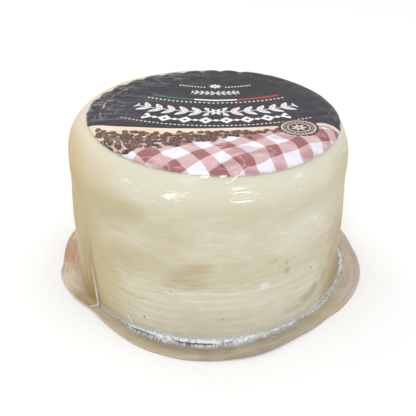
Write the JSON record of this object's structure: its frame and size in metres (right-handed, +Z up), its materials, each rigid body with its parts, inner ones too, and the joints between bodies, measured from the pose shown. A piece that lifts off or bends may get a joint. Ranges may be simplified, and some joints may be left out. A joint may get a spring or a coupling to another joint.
{
  "type": "vacuum packed young sheep's milk cheese wheel",
  "caption": "Whole round cheese with rounded shoulder and basket ridges, round label on top, tight clear skin and a flat sealed flange round its base.",
  "frame": {"origin": "on the surface that the pack stands on, under the middle of the wheel: the centre of the base web's flat underside", "axes": "+Z up through the wheel, +X to the right and -Y to the front as in the picture"},
  "size_m": [0.1487, 0.152, 0.0804],
  "materials": {
    "cheese": "moist ivory cheese with faint basket ridges, seen through the skin",
    "label": "printed coated paper: charcoal field with a red and white check below it",
    "clear_film": "clear glossy shrink skin",
    "base_film": "semi-transparent web, sealed to the skin round the edge"
  },
  "bodies": {
    "root": {"cheese_wheel": "cheese", "paper_label": "label", "top_film": "clear_film", "base_film": "base_film"}
  },
  "joints": []
}
